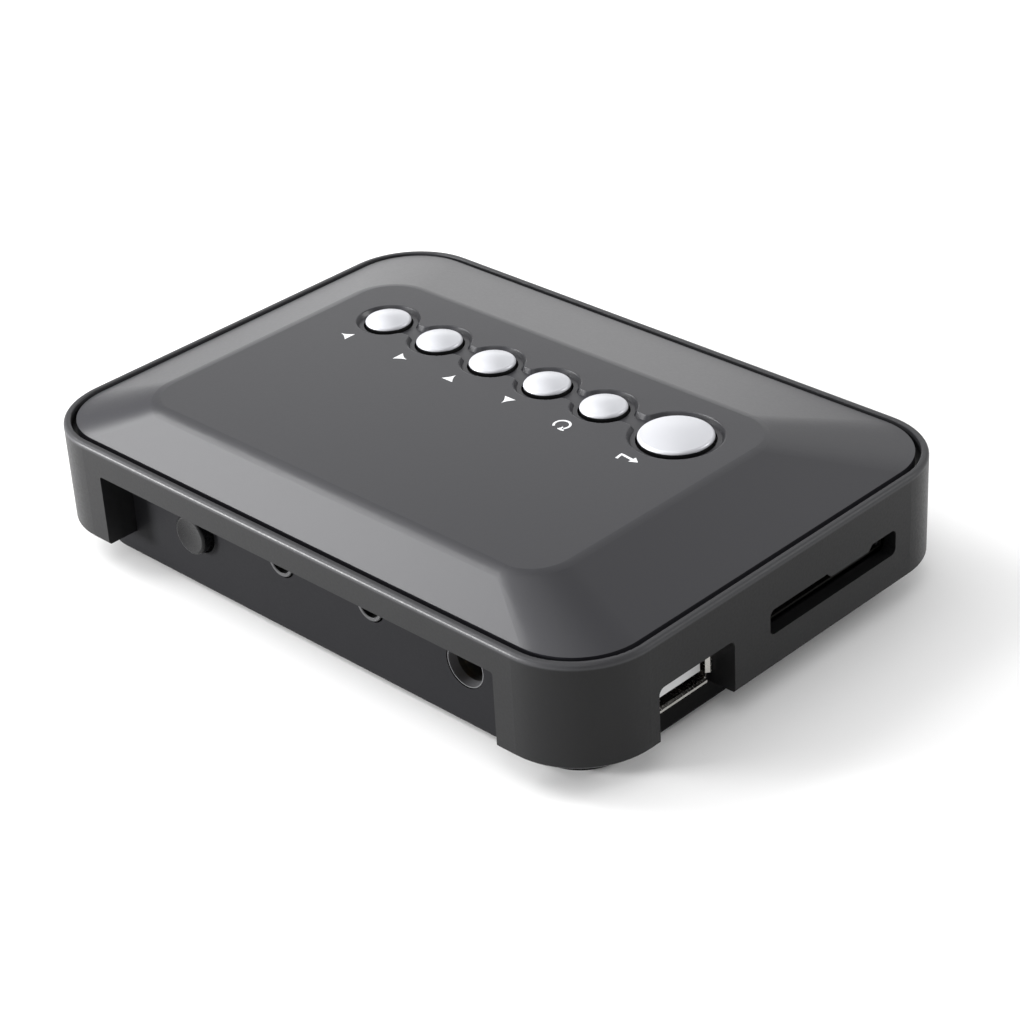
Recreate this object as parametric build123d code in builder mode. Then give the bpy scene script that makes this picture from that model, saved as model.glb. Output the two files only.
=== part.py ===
"""Pocket media player: a domed cover with a row of six keys, a beaded case ring
with a sunk connector bay, a base tray, two circuit boards and their parts.

Millimetres. +Z is up and the origin is at the centre of the resting plane. The
user sits on the -Y side. The connector bay is on the +Y side, and the memory
card slot and the USB socket are on the -X end.
"""

import os

from build123d import *

# Overall size of the case
case_length = 108.0
case_width = 77.0
case_corner = 12.0
case_wall = 2.0

# Heights above the resting plane
foot_height = 0.8
case_bottom = 4.9
seam_height = 20.0
crown_height = 4.8
bead_rise = 0.4
crown_top = seam_height + crown_height
case_top = seam_height + bead_rise

# Case ring: bead round the top, seat of the cover, flange at the bottom
bead_width = 1.1
bead_round = 0.6
bead_inner_round = 0.2
seat_depth = 1.4
seat_thickness = 1.0
seat_width = 2.5
case_foot_chamfer = 0.3
flange_thickness = 1.6
seat_height = seam_height - seat_depth
seat_bottom = seat_height - seat_thickness

# Cover: seam gap, rim, flat top with a flank on each side, and wall
seam_gap = 0.8
cover_rim_height = 1.7
cover_wall = 1.8
cover_lip = 1.6
front_flank = 16.6
rear_flank = 6.5
left_flank = 13.8
right_flank = 12.8
top_corner = 7.0
break_radius = 4.0
cover_inset = bead_width + seam_gap
cover_corner = case_corner - cover_inset
cover_length = case_length - 2 * cover_inset
cover_width = case_width - 2 * cover_inset
cover_rim_top = seat_height + cover_rim_height
top_front = front_flank - cover_width / 2
top_rear = cover_width / 2 - rear_flank
top_left = left_flank - cover_length / 2
top_right = cover_length / 2 - right_flank
top_center = ((top_left + top_right) / 2, (top_front + top_rear) / 2)
top_length = top_right - top_left
top_width = top_rear - top_front

# Keys: a row of five small ones and a large one, spread along the flat top
first_key_inset = 10.4
last_key_inset = 11.05
key_row_inset = 10.45
large_key_extra = 2.45
small_key_radius = 3.4
large_key_radius = 5.3
key_travel = 0.6
key_gap = 0.3
key_rim_rise = 0.3
key_dome_rise = 0.55
key_edge_round = 0.5
key_flange_width = 0.55
key_flange_thickness = 0.8
key_flange_gap = 0.05
key_stem_radius = 1.6
key_count = 6
first_key_x = top_right - first_key_inset
last_key_x = top_left + last_key_inset
key_y = top_front + key_row_inset
key_pitch = (first_key_x - last_key_x - large_key_extra) / (key_count - 1)
key_xs = [first_key_x - key_pitch * i for i in range(key_count - 1)] + [last_key_x]
key_radii = [small_key_radius] * (key_count - 1) + [large_key_radius]

# Wells round the keys, chained by short necks, and the guide pad below them
well_depth = 0.65
well_rim = 1.4
well_taper = 35
well_neck = 3.4
well_neck_round = 0.85
well_rim_round = 0.25
guide_drop = 1.2
guide_rim = 1.6
guide_bottom = crown_top - cover_wall - guide_drop

# Base tray
base_inset = 5.0
base_floor = 1.6
spigot_inset = 0.8
spigot_height = 3.1
spigot_wall = 1.3
fit_clearance = 0.15
base_edge_round = 0.8
base_length = case_length - 2 * base_inset
base_width = case_width - 2 * base_inset
base_corner = case_corner - base_inset
spigot_length = base_length - 2 * spigot_inset
spigot_width = base_width - 2 * spigot_inset
spigot_corner = base_corner - spigot_inset
tray_length = spigot_length - 2 * spigot_wall
tray_width = spigot_width - 2 * spigot_wall
tray_corner = spigot_corner - spigot_wall
tray_rear = tray_width / 2
floor_top = foot_height + base_floor
spigot_top = case_bottom + spigot_height

# Vent slots through the floor of the tray
vent_length = 21.0
vent_width = 1.6
vent_pitch = 4.4
vent_count = 9

# Feet
foot_radius = 4.5
foot_pocket_depth = 0.8
foot_gap = 0.1
foot_edge_round = 0.4
foot_end_inset = 15.0
foot_side_inset = 13.5
foot_x = base_length / 2 - foot_end_inset
foot_y = base_width / 2 - foot_side_inset
foot_places = [(x, y) for x in (-foot_x, foot_x) for y in (-foot_y, foot_y)]

# Corner pillars of the base and the cover's bosses above them
pillar_inset = 2.9
pillar_radius = 3.5
pillar_top = 9.0
counterbore_radius = 2.5
counterbore_depth = 3.0
boss_radius = 2.7
boss_pilot = 1.2
boss_pilot_depth = 9.0
pillar_x = tray_length / 2 - pillar_inset
pillar_y = tray_width / 2 - pillar_inset
pillar_places = [(x, y) for x in (-pillar_x, pillar_x) for y in (-pillar_y, pillar_y)]

# Main board on four short posts
board_thickness = 1.6
board_gap = 1.7
board_edge_gap = 0.4
board_bottom = floor_top + board_gap
board_top = board_bottom + board_thickness
board_length = tray_length - 2 * board_edge_gap
board_width = tray_width - 2 * board_edge_gap
board_end = board_length / 2
board_side = board_width / 2
post_radius = 2.6
post_pilot = 1.0
post_end_inset = 5.5
post_side_inset = 12.0
front_post_inset = 6.0
front_post_offset = 12.5
left_post_y = 2.5
post_places = [
    (post_end_inset - board_end, left_post_y),
    (front_post_offset - board_end, front_post_inset - board_side),
    (board_end - post_end_inset, board_side - post_side_inset),
    (board_end - post_end_inset, post_side_inset - board_side),
]

# Screws
board_screw_radius = 0.95
board_screw_head = 1.9
board_screw_head_height = 1.3
board_screw_reach = 3.0
board_screw_hole = 1.15
case_screw_radius = 1.15
case_screw_head = 2.1
case_screw_head_height = 1.6
case_screw_reach = 12.0
case_screw_hole = 1.35
screw_slot_width = 0.5
screw_slot_depth = 0.5
cross_span = 1.4

# Connector bay in the rear wall
bay_end_inset = 15.35
bay_roof_gap = 0.2
bay_corner = 0.4
bay_shelf = 1.3
shelf_lap = 1.0
panel_thickness = 1.8
bay_half_length = case_length / 2 - bay_end_inset
bay_top = seat_bottom - bay_roof_gap - bay_shelf
panel_face = case_width / 2 - base_inset
panel_back = panel_face - panel_thickness

# USB socket
usb_side_inset = 20.9
usb_width = 13.2
usb_height = 5.7
usb_length = 14.0
usb_sheet = 0.35
usb_reach = 1.2
usb_opening_gap = 0.3
usb_fit = 0.05
usb_tongue_width = 11.1
usb_tongue_height = 1.9
usb_tongue_sink = 0.45
usb_tongue_lift = 1.2
usb_tongue_bevel = 0.25
usb_lip_length = 0.4
usb_lip_flare = 0.2
usb_side_flare = 0.55
usb_lip_cut_width = 1.4
usb_lip_cut_height = 2.2
usb_block_length = 4.0
usb_contact_width = 1.0
usb_contact_height = 0.3
usb_contact_length = 7.0
usb_contact_pitches = [-3.5, -1.0, 1.0, 3.5]
usb_y = case_width / 2 - usb_side_inset
usb_z = board_top + usb_height / 2

# Pocket of the USB socket in the end wall
usb_pocket_margin = 0.65
usb_pocket_headroom = 1.6
usb_pocket_corner = 1.0
usb_pocket_wall = 1.5
usb_pocket_width = usb_width + 2 * usb_pocket_margin
usb_pocket_top = board_top + usb_height + usb_pocket_headroom
end_panel_face = base_inset - case_length / 2
end_panel_back = end_panel_face + panel_thickness
usb_mouth = end_panel_face - usb_reach

# Card slot in the end wall
card_y = -10.0
card_drop = 8.18
card_slot_width = 26.5
card_slot_height = 3.8
card_slot_corner = 0.9
card_tab_width = 9.6
card_tab_drop = 0.8
card_tab_angle = 135
card_tab_offset = 3.3
card_z = seam_height - card_drop

# Card socket under the key board
socket_width = 26.0
socket_length = 26.0
socket_height = 3.0
socket_wall_gap = 0.3
socket_sheet = 0.3
socket_roof = 0.5
card_gap_width = 24.4
card_gap_length = 23.5
socket_contact_span = 20.0
socket_contact_count = 9
socket_contact_width = 0.8
socket_contact_height = 0.25
socket_contact_length = 6.0
socket_mouth = case_wall + socket_wall_gap - case_length / 2
socket_back = socket_mouth + socket_length

# Key board, hung from the cover
key_board_thickness = 1.2
key_board_set_back = 0.7
key_board_end_margin = 8.05
key_board_front = -24.5
key_board_rear = 8.0
key_board_corner = 1.5
key_board_left = socket_mouth + key_board_set_back
key_board_right = first_key_x + key_board_end_margin
key_board_bottom = card_z + socket_height / 2
key_board_top = key_board_bottom + key_board_thickness
hanger_radius = 2.3
hanger_pilot = 0.85
hanger_pilot_depth = 4.0
hanger_screw_radius = 0.8
hanger_screw_hole = 1.0
hanger_inset = 3.5
hanger_end_inset = 8.5
hanger_edge_inset = 2.5
hanger_socket_gap = 4.2
hanger_places = [
    (key_board_left + hanger_end_inset, key_board_rear - hanger_edge_inset),
    (socket_back + hanger_socket_gap, key_board_front + hanger_edge_inset),
    (key_board_right - hanger_inset, key_board_front + hanger_inset),
    (key_board_right - hanger_inset, key_board_rear - hanger_inset),
]

# Tact switches under the keys
switch_width = 6.0
switch_height = 3.5
switch_bore = 1.8
switch_bore_depth = 2.3
switch_edge = 0.4
plunger_radius = 1.6
plunger_rise = 1.3
plunger_end_gap = 0.3
switch_top = key_board_top + switch_height
plunger_top = switch_top + plunger_rise
plunger_bottom = switch_top - switch_bore_depth + key_travel + plunger_end_gap

# Power button and its switch
power_end_inset = 14.65
power_height = 4.7
power_radius = 3.0
power_gap = 0.35
power_rise = 1.7
power_travel = 1.2
power_dish = 0.25
power_edge_round = 0.4
power_flange_width = 0.9
power_flange_thickness = 0.8
power_flange_gap = 0.1
power_stem = 3.6
power_stop_gap = 0.6
power_switch_width = 8.0
power_switch_length = 10.0
power_bore = 4.2
power_bore_depth = 4.0
power_end_gap = 0.3
power_x = bay_half_length - power_end_inset
power_z = board_top + power_height
power_face = panel_face + power_rise
power_flange_front = tray_rear - power_flange_gap
power_flange_back = power_flange_front - power_flange_thickness
power_switch_front = power_flange_back - power_travel - power_stop_gap
power_stem_end = power_switch_front - power_bore_depth + power_travel + power_end_gap

# Audio and video jacks
jack_height = 6.7
jack_xs = {"video_jack": 6.4, "audio_jack": -11.1}
jack_bore = 1.8
jack_bore_depth = 11.0
jack_nose_radius = 2.35
jack_nose_gap = 0.25
jack_nose_rise = 0.3
jack_width = 7.0
jack_length = 12.0
jack_roof = 3.0
jack_front_gap = 0.1
jack_flare = 0.1
jack_z = board_top + jack_height
jack_front = tray_rear - jack_front_gap

# Power inlet
inlet_end_inset = 10.2
inlet_height = 4.5
inlet_bore = 2.85
inlet_bore_depth = 9.5
inlet_width = 9.0
inlet_length = 13.0
inlet_roof = 4.1
inlet_pin_radius = 0.85
inlet_pin_tip_sink = 3.0
inlet_nose_radius = 3.25
inlet_nose_gap = 0.1
inlet_nose_sink = 0.1
inlet_mouth_radius = 3.1
inlet_mouth_depth = 1.3
inlet_x = inlet_end_inset - bay_half_length
inlet_z = board_top + inlet_height

# Window, infrared receiver and lamp in the front wall
window_x = 0.0
window_height_above_board = 5.3
window_width = 14.0
window_height = 5.0
window_corner = 1.2
window_clearance = 0.1
window_rim = 1.0
window_rim_thickness = 0.8
window_z = board_top + window_height_above_board
receiver_width = 6.0
receiver_depth = 4.4
receiver_height = 7.0
receiver_eye = 1.9
receiver_offset = -2.8
lamp_radius = 1.5
lamp_height = 5.0
lamp_round = 1.35
lamp_collar = 0.4
lamp_collar_height = 0.8
lamp_offset = 4.0
front_part_inset = 4.6
receiver_x = window_x + receiver_offset
lamp_x = window_x + lamp_offset
front_part_y = front_part_inset - tray_width / 2

# Processor with its heat sink, and the other parts of the main board
chip_center = (6.0, -9.5)
chip_width = 19.0
chip_height = 1.4
chip_edge = 0.25
sink_width = 18.0
sink_base = 1.2
sink_height = 4.6
fin_count = 7
fin_thickness = 0.8
memory_length = 11.0
memory_width = 9.0
memory_height = 1.1
memory_places = {"memory_rear": (24.5, -4.0), "memory_front": (24.5, -17.0)}
flash_x = -16.0
flash_inset = 7.0
flash_length = 18.0
flash_width = 10.0
flash_height = 1.1
crystal_place = (-10.0, -4.0)
crystal_length = 10.0
crystal_width = 4.4
crystal_height = 3.4
crystal_round = 0.4
choke_x = -14.0
choke_inset = 18.4
choke_width = 7.0
choke_corner = 1.2
choke_height = 3.6
choke_drum_radius = 3.0
choke_waist_radius = 2.4
choke_foot = 0.6
can_radius = 3.15
can_height = 7.2
can_groove = 0.35
can_groove_height = 1.4
can_inset = 17.9
inlet_can_inset = 19.9
can_places = [
    (-24.5, tray_rear - inlet_can_inset),
    (-1.5, tray_rear - can_inset),
    (17.0, tray_rear - can_inset),
]

# Pin strip that joins the boards
strip_pitch = 2.54
strip_count = 8
strip_width = 2.5
strip_height = 2.5
strip_end_inset = 21.0
strip_side_inset = 3.8
strip_center = (key_board_right - strip_end_inset, key_board_rear - strip_side_inset)
pin_side = 0.64
pin_hole = 0.5
pin_tail = 0.6

os.makedirs("parts", exist_ok=True)


def keep(piece, name):
    """Label a finished piece and write it to its own file."""
    piece.part.label = name
    export_step(piece.part, f"parts/{name}.step")
    print(name, round(piece.part.volume, 1))


def axis_plane(x, z, y=0.0):
    """Plane that faces +Y at (x, y, z), with its own x axis along -X."""
    return Plane(origin=(x, y, z), x_dir=(-1, 0, 0), z_dir=(0, 1, 0))


def end_plane(y, z, x=0.0):
    """Plane that faces -X at (x, y, z), with its own x axis along -Y."""
    return Plane(origin=(x, y, z), x_dir=(0, -1, 0), z_dir=(-1, 0, 0))


def upright_plane(x, y):
    """Upright plane through (x, y), with local x along +X and local y along +Z."""
    return Plane(origin=(x, y, 0), x_dir=(1, 0, 0), z_dir=(0, -1, 0))


def upright_axis(x, y):
    """Line parallel to Z through (x, y)."""
    return Axis((x, y, 0), (0, 0, 1))


# Case ring
with BuildPart() as case:
    with BuildSketch(Plane.XY.offset(case_bottom)):
        RectangleRounded(case_length, case_width, case_corner)
    extrude(amount=case_top - case_bottom)
    outer_rim = case.edges().group_by(Axis.Z)[-1]
    foot_rim = case.edges().group_by(Axis.Z)[0]
    fillet(outer_rim, bead_round)
    chamfer(foot_rim, case_foot_chamfer)

    # Room inside the walls, between the bottom flange and the seat of the cover
    with BuildSketch(Plane.XY.offset(case_bottom + flange_thickness)):
        RectangleRounded(
            case_length - 2 * case_wall, case_width - 2 * case_wall, case_corner - case_wall
        )
    extrude(amount=seat_bottom - case_bottom - flange_thickness, mode=Mode.SUBTRACT)

    # Opening for the base tray's spigot
    with BuildSketch(Plane.XY.offset(case_bottom)):
        RectangleRounded(
            spigot_length + 2 * fit_clearance,
            spigot_width + 2 * fit_clearance,
            spigot_corner + fit_clearance,
        )
    extrude(amount=flange_thickness, mode=Mode.SUBTRACT)

    # Opening inside the seat, and the wider pocket above it for the cover's rim
    seat_inset = bead_width + seat_width
    with BuildSketch(Plane.XY.offset(seat_bottom)):
        RectangleRounded(
            case_length - 2 * seat_inset, case_width - 2 * seat_inset, case_corner - seat_inset
        )
    extrude(amount=seat_thickness, mode=Mode.SUBTRACT)
    with BuildSketch(Plane.XY.offset(seat_height)):
        RectangleRounded(
            case_length - 2 * bead_width, case_width - 2 * bead_width, case_corner - bead_width
        )
    extrude(amount=case_top - seat_height, mode=Mode.SUBTRACT)
    fillet(case.faces().sort_by(Axis.Z)[-1].inner_wires().edges(), bead_inner_round)

    # Roof and cheeks of the connector bay, then the bay itself, open below
    rear_middle = case_width / 2 - case_wall / 2
    roof_front = panel_back - shelf_lap
    cheek_front = spigot_width / 2 + fit_clearance
    with BuildSketch(Plane.XY.offset(case_bottom)):
        with Locations((0, (cheek_front + rear_middle) / 2)):
            Rectangle(2 * (bay_half_length + bay_shelf), rear_middle - cheek_front)
    extrude(amount=bay_top - case_bottom)
    with BuildSketch(Plane.XY.offset(bay_top)):
        with Locations((0, (roof_front + rear_middle) / 2)):
            Rectangle(2 * (bay_half_length + bay_shelf), rear_middle - roof_front)
    extrude(amount=bay_shelf)
    with BuildSketch(upright_plane(0, case_width / 2)) as bay_outline:
        with Locations((0, (case_bottom + bay_top) / 2)):
            Rectangle(2 * bay_half_length, bay_top - case_bottom)
        fillet(bay_outline.vertices().group_by(Axis.Y)[-1], bay_corner)
    extrude(amount=case_width / 2 - cheek_front, mode=Mode.SUBTRACT)

    # Roof and cheeks of the USB pocket, then the pocket, open below
    end_middle = -case_length / 2 + case_wall / 2
    roof_end = end_panel_back + shelf_lap
    cheek_end = -spigot_length / 2 - fit_clearance
    with BuildSketch(Plane.XY.offset(case_bottom)):
        with Locations(((end_middle + cheek_end) / 2, usb_y)):
            Rectangle(cheek_end - end_middle, usb_pocket_width + 2 * usb_pocket_wall)
    extrude(amount=usb_pocket_top - case_bottom)
    with BuildSketch(Plane.XY.offset(usb_pocket_top)):
        with Locations(((end_middle + roof_end) / 2, usb_y)):
            Rectangle(roof_end - end_middle, usb_pocket_width + 2 * usb_pocket_wall)
    extrude(amount=usb_pocket_wall)
    with BuildSketch(end_plane(usb_y, 0, -case_length / 2)) as pocket_outline:
        with Locations((0, (case_bottom + usb_pocket_top) / 2)):
            Rectangle(usb_pocket_width, usb_pocket_top - case_bottom)
        fillet(pocket_outline.vertices().group_by(Axis.Y)[-1], usb_pocket_corner)
    extrude(amount=-(case_length / 2 + cheek_end), mode=Mode.SUBTRACT)

    # Card slot, with a tab that comes down from its upper edge
    with BuildSketch(end_plane(card_y, card_z, -case_length / 2)):
        RectangleRounded(card_slot_width, card_slot_height, card_slot_corner)
        with Locations((card_tab_offset, (card_slot_height - card_tab_drop) / 2)):
            Trapezoid(card_tab_width, card_tab_drop, card_tab_angle, mode=Mode.SUBTRACT)
    extrude(amount=-case_wall, mode=Mode.SUBTRACT)

    # Opening for the front window
    with BuildSketch(upright_plane(window_x, -case_width / 2)):
        with Locations((0, window_z)):
            RectangleRounded(window_width, window_height, window_corner)
    extrude(amount=-case_wall, mode=Mode.SUBTRACT)
keep(case, "case_ring")

# Room under the cover, with the columns of its screw bosses left standing
with BuildPart() as cover_room:
    with BuildSketch(Plane.XY.offset(seat_height)):
        RectangleRounded(
            cover_length - 2 * cover_lip, cover_width - 2 * cover_lip, cover_corner - cover_lip
        )
    extrude(amount=cover_rim_height - cover_wall / 2)
    with BuildSketch(Plane.XY.offset(cover_rim_top - cover_wall / 2)):
        RectangleRounded(
            cover_length - 2 * cover_lip, cover_width - 2 * cover_lip, cover_corner - cover_lip
        )
    with BuildSketch(Plane.XY.offset(crown_top - cover_wall)):
        with Locations(top_center):
            RectangleRounded(top_length - cover_wall, top_width - cover_wall, top_corner)
    loft(ruled=True)
    with BuildSketch(Plane.XY.offset(seat_height)):
        with Locations(*pillar_places):
            Circle(boss_radius)
        with Locations(*hanger_places):
            Circle(hanger_radius)
    extrude(amount=crown_height + cover_rim_height, mode=Mode.SUBTRACT)

# Cover
with BuildPart() as cover:
    with BuildSketch(Plane.XY.offset(seat_height)):
        RectangleRounded(cover_length, cover_width, cover_corner)
    extrude(amount=cover_rim_height)
    with BuildSketch(Plane.XY.offset(cover_rim_top)):
        RectangleRounded(cover_length, cover_width, cover_corner)
    with BuildSketch(Plane.XY.offset(crown_top)):
        with Locations(top_center):
            RectangleRounded(top_length, top_width, top_corner)
    loft(ruled=True)
    fillet(cover.edges().group_by(Axis.Z)[-1], break_radius)
    add(cover_room.part, mode=Mode.SUBTRACT)

    # Bosses that come down to the base pillars and to the key board
    with BuildSketch(Plane.XY.offset(pillar_top)):
        with Locations(*pillar_places):
            Circle(boss_radius)
    extrude(amount=seat_height - pillar_top)
    with BuildSketch(Plane.XY.offset(key_board_top)):
        with Locations(*hanger_places):
            Circle(hanger_radius)
    extrude(amount=seat_height - key_board_top)
    with BuildSketch(Plane.XY.offset(pillar_top)):
        with Locations(*pillar_places):
            Circle(boss_pilot)
    extrude(amount=boss_pilot_depth, mode=Mode.SUBTRACT)
    with BuildSketch(Plane.XY.offset(key_board_top)):
        with Locations(*hanger_places):
            Circle(hanger_pilot)
    extrude(amount=hanger_pilot_depth, mode=Mode.SUBTRACT)

    # Guide pad below the keys
    with BuildSketch(Plane.XY.offset(guide_bottom)):
        for x, radius in zip(key_xs, key_radii):
            with Locations((x, key_y)):
                Circle(radius + guide_rim)
        with Locations(((key_xs[0] + key_xs[-1]) / 2, key_y)):
            Rectangle(key_xs[0] - key_xs[-1], 2 * small_key_radius)
    extrude(amount=guide_drop + cover_wall / 2)

    # Wells: round dishes joined by short necks, with sloping sides. The outline is drawn
    # wider and offset back, which rounds the inner corners of the necks.
    with BuildSketch(Plane.XY.offset(crown_top)):
        for x, radius in zip(key_xs, key_radii):
            with Locations((x, key_y)):
                Circle(radius + well_rim + well_neck_round)
        with Locations(((key_xs[0] + key_xs[-1]) / 2, key_y)):
            Rectangle(key_xs[0] - key_xs[-1], well_neck + 2 * well_neck_round)
        offset(amount=-well_neck_round, kind=Kind.ARC, mode=Mode.REPLACE)
    extrude(amount=-well_depth, taper=well_taper, mode=Mode.SUBTRACT)
    fillet(cover.faces().sort_by(Axis.Z)[-1].inner_wires().edges(), well_rim_round)

    # Key holes
    with BuildSketch(Plane.XY.offset(guide_bottom)):
        for x, radius in zip(key_xs, key_radii):
            with Locations((x, key_y)):
                Circle(radius + key_gap)
    extrude(amount=crown_top - guide_bottom, mode=Mode.SUBTRACT)
keep(cover, "cover")

# Base tray
panel_top = bay_top - fit_clearance
end_panel_top = usb_pocket_top - fit_clearance
with BuildPart() as base:
    with BuildSketch(Plane.XY.offset(foot_height)):
        RectangleRounded(base_length, base_width, base_corner)
    extrude(amount=case_bottom - foot_height)
    fillet(base.edges().group_by(Axis.Z)[0], base_edge_round)
    with BuildSketch(Plane.XY.offset(case_bottom)):
        RectangleRounded(spigot_length, spigot_width, spigot_corner)
    extrude(amount=spigot_height)
    with BuildSketch(Plane.XY.offset(floor_top)):
        RectangleRounded(tray_length, tray_width, tray_corner)
    extrude(amount=spigot_top - floor_top, mode=Mode.SUBTRACT)

    # Connector panel and USB panel, which stand up in the case's two openings
    with BuildSketch(upright_plane(0, panel_face)) as panel_outline:
        with Locations((0, (floor_top + panel_top) / 2)):
            Rectangle(2 * (bay_half_length - fit_clearance), panel_top - floor_top)
        fillet(panel_outline.vertices().group_by(Axis.Y)[-1], bay_corner)
    extrude(amount=panel_thickness)
    with BuildSketch(end_plane(usb_y, 0, end_panel_face)) as end_outline:
        with Locations((0, (floor_top + end_panel_top) / 2)):
            Rectangle(usb_pocket_width - 2 * fit_clearance, end_panel_top - floor_top)
        fillet(end_outline.vertices().group_by(Axis.Y)[-1], usb_pocket_corner)
    extrude(amount=-panel_thickness)

    # Corner pillars and the posts of the main board
    with BuildSketch(Plane.XY.offset(floor_top)):
        with Locations(*pillar_places):
            Circle(pillar_radius)
    extrude(amount=pillar_top - floor_top)
    with BuildSketch(Plane.XY.offset(floor_top)):
        with Locations(*post_places):
            Circle(post_radius)
    extrude(amount=board_gap)
    with BuildSketch(Plane.XY.offset(board_bottom)):
        with Locations(*post_places):
            Circle(post_pilot)
    extrude(amount=-board_gap, mode=Mode.SUBTRACT)
    with BuildSketch(Plane.XY.offset(foot_height)):
        with Locations(*pillar_places):
            Circle(counterbore_radius)
    extrude(amount=counterbore_depth, mode=Mode.SUBTRACT)
    with BuildSketch(Plane.XY.offset(foot_height)):
        with Locations(*pillar_places):
            Circle(case_screw_hole)
    extrude(amount=pillar_top - foot_height, mode=Mode.SUBTRACT)

    # Pockets for the feet
    with BuildSketch(Plane.XY.offset(foot_height)):
        with Locations(*foot_places):
            Circle(foot_radius + foot_gap)
    extrude(amount=foot_pocket_depth, mode=Mode.SUBTRACT)

    # Vent slots below the processor
    with BuildSketch(Plane.XY.offset(foot_height)):
        with GridLocations(vent_pitch, 0, vent_count, 1):
            SlotOverall(vent_length, vent_width, rotation=90)
    extrude(amount=base_floor, mode=Mode.SUBTRACT)

    # Openings in the connector panel: power button, two jacks and the power inlet
    with BuildSketch(axis_plane(0, 0, panel_face)):
        with Locations((-power_x, power_z)):
            Circle(power_radius + power_gap)
        for x in jack_xs.values():
            with Locations((-x, jack_z)):
                Circle(jack_nose_radius + jack_nose_gap)
        with Locations((-inlet_x, inlet_z)):
            Circle(inlet_nose_radius + inlet_nose_gap)
    extrude(amount=-(panel_face - tray_rear), mode=Mode.SUBTRACT)

    # Opening for the USB socket
    with BuildSketch(end_plane(usb_y, usb_z, end_panel_face)):
        Rectangle(usb_width + 2 * usb_opening_gap, usb_height + 2 * usb_opening_gap)
    extrude(amount=tray_length / 2 + end_panel_face, mode=Mode.SUBTRACT)
keep(base, "base_tray")

# Feet
for number, place in enumerate(foot_places, start=1):
    with BuildPart() as foot:
        with BuildSketch():
            with Locations(place):
                Circle(foot_radius)
        extrude(amount=foot_height + foot_pocket_depth)
        fillet(foot.edges().group_by(Axis.Z)[0], foot_edge_round)
    keep(foot, f"foot_{number}")

# Main board
with BuildPart() as main_board:
    with BuildSketch(Plane.XY.offset(board_bottom)):
        RectangleRounded(board_length, board_width, tray_corner - board_edge_gap)
        with Locations(*pillar_places):
            Circle(pillar_radius + board_edge_gap, mode=Mode.SUBTRACT)
        with Locations(*post_places):
            Circle(board_screw_hole, mode=Mode.SUBTRACT)
        with Locations(strip_center):
            with GridLocations(strip_pitch, 0, strip_count, 1):
                Circle(pin_hole, mode=Mode.SUBTRACT)
    extrude(amount=board_thickness)
keep(main_board, "main_board")

# Key board
key_board_center = (
    (key_board_left + key_board_right) / 2,
    (key_board_front + key_board_rear) / 2,
)
with BuildPart() as key_board:
    with BuildSketch(Plane.XY.offset(key_board_bottom)):
        with Locations(key_board_center):
            RectangleRounded(
                key_board_right - key_board_left,
                key_board_rear - key_board_front,
                key_board_corner,
            )
        with Locations(*hanger_places):
            Circle(hanger_screw_hole, mode=Mode.SUBTRACT)
        with Locations(strip_center):
            with GridLocations(strip_pitch, 0, strip_count, 1):
                Circle(pin_hole, mode=Mode.SUBTRACT)
    extrude(amount=key_board_thickness)
keep(key_board, "key_board")


def crosses(plane, places, head_radius):
    """Outline of the cross recesses in the screw heads that lie in the plane."""
    with BuildSketch(plane) as outline:
        with Locations(*places):
            Rectangle(cross_span * head_radius, screw_slot_width)
            Rectangle(screw_slot_width, cross_span * head_radius)
    return outline.sketch


def underside(z):
    """Plane at height z that faces down, with local y along -Y."""
    return Plane(origin=(0, 0, z), x_dir=(1, 0, 0), z_dir=(0, 0, -1))


# Screws of the case, from below into the bosses of the cover
case_head_top = foot_height + counterbore_depth
with BuildPart() as case_screws:
    with BuildSketch(Plane.XY.offset(case_head_top - case_screw_head_height)):
        with Locations(*pillar_places):
            Circle(case_screw_head)
    extrude(amount=case_screw_head_height)
    with BuildSketch(Plane.XY.offset(case_head_top)):
        with Locations(*pillar_places):
            Circle(case_screw_radius)
    extrude(amount=case_screw_reach)
    recesses = crosses(
        underside(case_head_top - case_screw_head_height), pillar_places, case_screw_head
    )
    extrude(recesses, amount=-screw_slot_depth, mode=Mode.SUBTRACT)
keep(case_screws, "case_screws")

# Screws of the main board
with BuildPart() as board_screws:
    with BuildSketch(Plane.XY.offset(board_top)):
        with Locations(*post_places):
            Circle(board_screw_head)
    extrude(amount=board_screw_head_height)
    with BuildSketch(Plane.XY.offset(board_top)):
        with Locations(*post_places):
            Circle(board_screw_radius)
    extrude(amount=-board_screw_reach)
    recesses = crosses(
        Plane.XY.offset(board_top + board_screw_head_height), post_places, board_screw_head
    )
    extrude(recesses, amount=-screw_slot_depth, mode=Mode.SUBTRACT)
keep(board_screws, "board_screws")

# Screws of the key board, from below into the cover's hangers
with BuildPart() as hanger_screws:
    with BuildSketch(Plane.XY.offset(key_board_bottom)):
        with Locations(*hanger_places):
            Circle(board_screw_head)
    extrude(amount=-board_screw_head_height)
    with BuildSketch(Plane.XY.offset(key_board_bottom)):
        with Locations(*hanger_places):
            Circle(hanger_screw_radius)
    extrude(amount=key_board_thickness + hanger_pilot_depth - screw_slot_depth)
    flipped_places = [(x, -y) for x, y in hanger_places]
    recesses = crosses(
        underside(key_board_bottom - board_screw_head_height),
        flipped_places,
        board_screw_head,
    )
    extrude(recesses, amount=-screw_slot_depth, mode=Mode.SUBTRACT)
keep(hanger_screws, "hanger_screws")

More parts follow.
